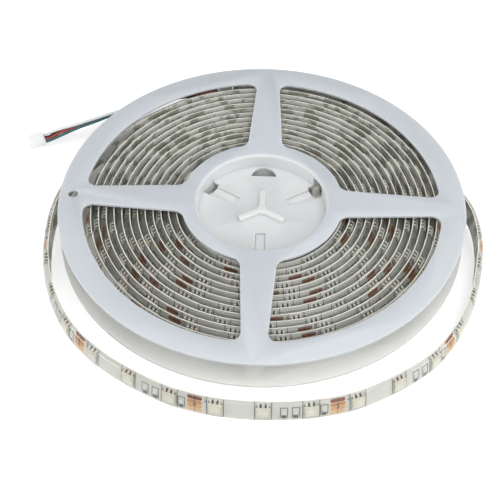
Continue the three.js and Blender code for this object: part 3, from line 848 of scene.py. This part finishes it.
def model_led():
    """One LED, in mm, at the strip's inner end with its front towards -Y."""
    middle = STRIP_WIDTH / 2
    size = (LED_SIDE, LED_FRONT - LED_SEAT, LED_SIDE)
    body = block(size, (0, -(LED_FRONT + LED_SEAT) / 2, middle))
    bpy.ops.object.mode_set(mode="EDIT")
    choose(body, "edge", lambda at: at.y < -LED_FRONT * 0.9)
    bpy.ops.mesh.bevel(offset=LED_BEVEL, segments=1)
    bpy.ops.object.mode_set(mode="OBJECT")
    body.data.materials.append(led_plastic.material)
    bpy.ops.mesh.primitive_cylinder_add(
        vertices=16,
        radius=CUP_RADIUS,
        depth=CUP_DEPTH,
        location=(0, CUP_MIDDLE - LED_FRONT, middle),
        rotation=(math.pi / 2, 0, 0),
    )
    cup = bpy.context.object
    settle(cup)
    cup.data.materials.append(led_gel.material)
    parts = [body, cup]
    for side in (-1, 1):
        height = middle + side * (LED_SIDE / 2 + LEG_OUT)
        # A near-black block behind and between the legs stands in for the shade there, as painted
        # shade.
        leg_shade_piece = block(LEG_SHADE_SIZE, (0, -LED_SEAT - LEG_SHADE_MIDDLE, height))
        leg_shade_piece.data.materials.append(painted_leg_shade.material)
        parts.append(leg_shade_piece)
        for place in LEG_PLACES:
            leg = block(LEG_SIZE, (place, -LED_SEAT - LEG_MIDDLE, height))
            leg.data.materials.append(solder.material)
            parts.append(leg)
    return join(parts)


def set_on_strip(piece, distance):
    """Moves a small part, modelled in mm at the inner end, to its distance along the strip."""
    at, out, low = on_route(distance)
    across = (-out[1], -out[0], 0, at[0])
    along = (out[0], -out[1], 0, at[1])
    turn = Matrix((across, along, (0, 0, 1, low), (0, 0, 0, 1)))
    piece.data.transform(Matrix.Scale(0.001, 4) @ turn)


led_plastic = Finish("led_plastic", (0.47, 0.46, 0.39), 0.35)
led_plastic.mottle(0.002, (0.42, 0.41, 0.33), (0.51, 0.50, 0.43), 3.0)
led_plastic.polish(0.001, 0.25, 0.2)
led_gel = Finish("led_gel", (0.54, 0.54, 0.46), 0.15)
led_gel.mottle(0.0016, (0.46, 0.45, 0.37), (0.64, 0.64, 0.57), 3.0)
led_gel.polish(0.001, 0.05, 0.2)
solder = Finish("led_solder", (0.46, 0.46, 0.42), 0.35)
solder.mottle(0.0007, (0.34, 0.34, 0.31), (0.56, 0.56, 0.51))
# Painted shade: a near-black sheet behind the legs, with copper-red spots here and there.
painted_leg_shade = Finish("led_leg_painted_shade", (0.03, 0.025, 0.02), 0.5)
copper_spots = painted_leg_shade.noise(0.018).below(0.41, soft=0.05)
painted_leg_shade.use("Base Color", painted_leg_shade.blend(copper_spots, (0.018, 0.018, 0.016), (0.12, 0.026, 0.016)))

places = {"led": [], "resistor": []}
cut = strip_length - CUT_PITCH
while cut > -CUT_PITCH:
    places["led"] += [cut + FIRST_LED + k * LED_PITCH for k in range(3)]
    places["resistor"] += [cut + place for place in RESISTOR_PLACES]
    cut -= CUT_PITCH


def place_parts(pattern, kind, slot, name):
    """Copies the part to all its places: one piece for each that stands outside the reel, and
    one piece of all those in the roll and under the rims."""
    inside = []
    shown = 0
    for distance in sorted(places[kind]):
        if not STRIP_MARGIN < distance < strip_length - STRIP_MARGIN:
            continue
        copy = copy_of(pattern)
        set_on_strip(copy, distance)
        at, _, _ = on_route(distance)
        if distance > wound_length and np.linalg.norm(at) > 1000 * REEL_RADIUS:
            shown += 1
            finish_piece(copy, f"{name}_{shown:02d}", slot)
            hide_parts(f"{kind}_{shown:02d}")
        else:
            inside.append(copy)
    bpy.data.objects.remove(pattern)
    finish_piece(join(inside), f"{name}s_in_roll", slot)


place_parts(model_led(), "led", "led_package", "led_lamp")


# The resistors are small dark ceramic chips with a pale upper end, soldered upright on to the
# board between the LEDs; their dark lower part is partly painted shade.
# They go on the strip in the same way as the LEDs.
RESISTOR_SIZE = (1.6, 0.55, 3.2)
RESISTOR_PALE = 1.5
RESISTOR_ROUND = 0.12

# The dark lower part is the chip's black body and also painted shade over its lower end.
chip = Finish("resistor_black_and_shade", (0.045, 0.045, 0.045), 0.35)
chip.mottle(0.0008, (0.03, 0.03, 0.03), (0.09, 0.09, 0.088))
chip_end = Finish("resistor_end", (0.52, 0.52, 0.49), 0.4)
chip_end.mottle(0.0008, (0.42, 0.42, 0.40), (0.58, 0.58, 0.55))

width, thick, tall = RESISTOR_SIZE
dark_part = tall - RESISTOR_PALE
resistor_y = -LED_SEAT - thick / 2
low_end = RESISTOR_MIDDLE - tall / 2
halves = []
for height, start, look in ((dark_part, 0, chip), (RESISTOR_PALE, dark_part, chip_end)):
    half = block((width, thick, height), (0, resistor_y, low_end + start + height / 2))
    half.data.materials.append(look.material)
    round_edges(half, RESISTOR_ROUND, 1)
    halves.append(half)
place_parts(join(halves), "resistor", "resistor_body", "resistor_chip")


# Clear silicone is poured over the whole front of the board. It is thicker than the LEDs in
# the middle and runs out in a soft curve to a thin edge above and below.
COAT_EDGE = 0.45
COAT_BACK = 0.15
COAT_ROWS = 10

coat = ribbon(-STRIP_THICK, 0, STRIP_WIDTH, COAT_ROWS)
thicken(coat, STRIP_THICK - COAT_BACK)
for vertex in coat.data.vertices:
    turn = math.pi * vertex.co.z / STRIP_WIDTH
    if vertex.co.y < -STRIP_THICK + 0.01:
        vertex.co.y = -COAT_EDGE - (STRIP_THICK - COAT_EDGE) * math.sin(turn)
    vertex.co.z = STRIP_WIDTH / 2 * (1 - math.cos(turn))
wind(coat)

silicone = Finish("clear_silicone", (0.97, 0.97, 0.96), 0.13)
silicone.use("Transmission Weight", 1.0)
silicone.use("IOR", 1.41)
silicone.bump(silicone.noise(0.012), 0.00008)
shadow_ray = silicone.node("ShaderNodeLightPath").outputs["Is Shadow Ray"]
let_through = silicone.node("ShaderNodeBsdfTransparent", {}, {"Color": (0.94, 0.94, 0.93)})
mixed = silicone.node(
    "ShaderNodeMixShader",
    {},
    {0: shadow_ray, 1: silicone.shader.outputs[0], 2: let_through.outputs[0]},
)
silicone.feed(silicone.tree.nodes["Material Output"].inputs["Surface"], mixed.outputs[0])
finish_piece(coat, "silicone_coat", "clear_coat", silicone.material, smooth=50)
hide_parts("strip_coat")


# The upper half is the same thin disc, with a cup for a hub: a flat floor with a raised
# three-armed star, three slots that the tongues snap into, a D-shaped hole, and an opening in
# its wall where the strip's inner end comes in.
REEL_HEIGHT = 0.014
LIP_ROUND = 0.0012
STAR_ARM = 0.0104
STAR_WIDTH = 0.0026
STAR_HEIGHT = 0.0018
STAR_BOSS = 0.0022
BOSS_RISE = 0.0001
BOSS_SIDES = 48
STAR_FEATHER = 0.0006
D_HOLE_RADIUS = 0.005
D_HOLE_FLAT = 0.0199
D_HOLE_SIDES = 64
OPENING_LIP = 0.0017
SLOT_OVERLAP = 0.0005
NOTCH_RISE = 0.0005
NOTCH_STOP = 0.0001
FLOOR_TOP = FLOOR_BOTTOM + FLOOR_THICK
STAR_TOP = FLOOR_TOP + STAR_HEIGHT

upper = flange(REEL_HEIGHT - FLANGE_THICK)
hub = disc(HUB_RADIUS, FLOOR_BOTTOM, REEL_HEIGHT - FLANGE_THICK / 2, HUB_SIDES)
shape_with(upper, hub, "UNION")
shape_with(upper, disc(DISH_RADIUS, FLOOR_TOP, REEL_HEIGHT + 2 * CUT_MARGIN, HUB_SIDES))
under, over = FLOOR_BOTTOM - CUT_MARGIN, FLOOR_TOP + NOTCH_RISE
for turn in SLOT_ANGLES:
    slot = spoke_block(SLOT_INNER, SLOT_OUTER + SLOT_OVERLAP, SLOT_WIDTH, under, over, turn)
    shape_with(upper, slot)
    notch = spoke_block(SLOT_OUTER, DISH_RADIUS - NOTCH_STOP, NOTCH_WIDTH, under, over, turn)
    shape_with(upper, notch)
shape_with(upper, wall_opening(under, REEL_HEIGHT - OPENING_LIP))
d_turn = math.pi / 2 + REEL_TURN
d_middle = (D_HOLE_FLAT * math.cos(d_turn), D_HOLE_FLAT * math.sin(d_turn))
d_hole = disc(D_HOLE_RADIUS, under, FLOOR_TOP + CUT_MARGIN, D_HOLE_SIDES, d_middle)
near = D_HOLE_FLAT - 2 * D_HOLE_RADIUS
shape_with(d_hole, spoke_block(near, D_HOLE_FLAT, 4 * D_HOLE_RADIUS, 0, REEL_HEIGHT, d_turn))
shape_with(upper, d_hole)
star_root = FLOOR_TOP - FLOOR_THICK / 2
boss = disc(STAR_BOSS, star_root, STAR_TOP + BOSS_RISE, BOSS_SIDES)
round_edges(boss, STAR_FEATHER, 4)
shape_with(upper, boss, "UNION")
for turn in SLOT_ANGLES:
    arm = spoke_block(STAR_BOSS / 2, STAR_ARM, STAR_WIDTH, star_root, STAR_TOP, 0)
    round_edges(arm, STAR_FEATHER, 4)
    arm.rotation_euler = (0, 0, turn + math.pi / 3)
    settle(arm)
    shape_with(upper, arm, "UNION")


def on_lip(at):
    return at.z > REEL_HEIGHT - 1e-5 and abs(at.xy.length - DISH_RADIUS) < 3e-5


bpy.ops.object.mode_set(mode="EDIT")
choose(upper, "edge", on_lip)
bpy.ops.mesh.bevel(offset=LIP_ROUND, segments=6)
bpy.ops.object.mode_set(mode="OBJECT")
round_edges(upper, EDGE_ROUND, 2)
upper_white = moulded_plastic(
    "upper_plastic", (0.46, 0.485, 0.51), (0.515, 0.54, 0.565), (0.61, 0.62, 0.615)
)
finish_piece(upper, "reel_upper", "reel_plastic", upper_white, smooth=30)
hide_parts("reel_upper_half")


# The table is plain white paper. Four soft lamps light the reel, from above, from the front
# and from low down at both sides, and the camera sees white beyond the table.
WHITE = (1.0, 1.0, 1.0)
TABLE_SINK = 0.00005
TABLE_GLOW = 0.32
ROOM_LIGHT = 0.5

bpy.ops.mesh.primitive_plane_add(size=6, location=(0, 0, -TABLE_SINK))
table = bpy.context.object
table.name = "table"
settle(table)
paper = Finish("white_table", (0.86, 0.86, 0.86), 0.9)
seen = paper.node("ShaderNodeLightPath").outputs["Is Camera Ray"]
glow = paper.node("ShaderNodeEmission", {}, {"Color": WHITE, "Strength": TABLE_GLOW})
dark = paper.node("ShaderNodeEmission", {}, {"Color": WHITE, "Strength": 0.0})
lit = paper.node("ShaderNodeMixShader", {}, {0: seen, 1: dark.outputs[0], 2: glow.outputs[0]})
both = paper.node("ShaderNodeAddShader", {}, {0: paper.shader.outputs[0], 1: lit.outputs[0]})
paper.feed(paper.tree.nodes["Material Output"].inputs["Surface"], both.outputs[0])
table.data.materials.append(paper.material)

world = bpy.data.worlds.new("studio")
bpy.context.scene.world = world
world.use_nodes = True
nodes = world.node_tree.nodes
links = world.node_tree.links
soft_light = nodes["Background"]
soft_light.inputs["Color"].default_value = (0.95, 0.97, 1.0, 1)
soft_light.inputs["Strength"].default_value = ROOM_LIGHT
white_beyond = nodes.new("ShaderNodeBackground")
white_beyond.inputs["Color"].default_value = (*WHITE, 1)
white_beyond.inputs["Strength"].default_value = 1.0
by_eye = nodes.new("ShaderNodeLightPath")
shown = nodes.new("ShaderNodeMixShader")
links.new(by_eye.outputs["Is Camera Ray"], shown.inputs[0])
links.new(soft_light.outputs[0], shown.inputs[1])
links.new(white_beyond.outputs[0], shown.inputs[2])
links.new(shown.outputs[0], nodes["World Output"].inputs["Surface"])


def soft_lamp(name, place, aim, size, power):
    """A square lamp that faces the aim, with its side in metres and its power in watts."""
    bpy.ops.object.light_add(type="AREA", location=place)
    lamp = bpy.context.object
    lamp.name = name
    lamp.data.size = size
    lamp.data.energy = power
    lamp.rotation_euler = (Vector(aim) - Vector(place)).to_track_quat("-Z", "Y").to_euler()


soft_lamp("lamp_above", (0.15, 0.05, 1.1), (0, 0, 0), size=1.0, power=4.0)
soft_lamp("lamp_left", (-0.8, -0.25, 0.10), (0, 0, 0.01), size=0.5, power=4.2)
soft_lamp("lamp_right", (0.8, -0.2, 0.10), (0, 0, 0.01), size=0.5, power=3.6)
soft_lamp("lamp_front", (0.12, -0.5, 0.5), (0, -0.05, 0), size=0.8, power=4.0)

bpy.context.scene.view_settings.view_transform = "Standard"
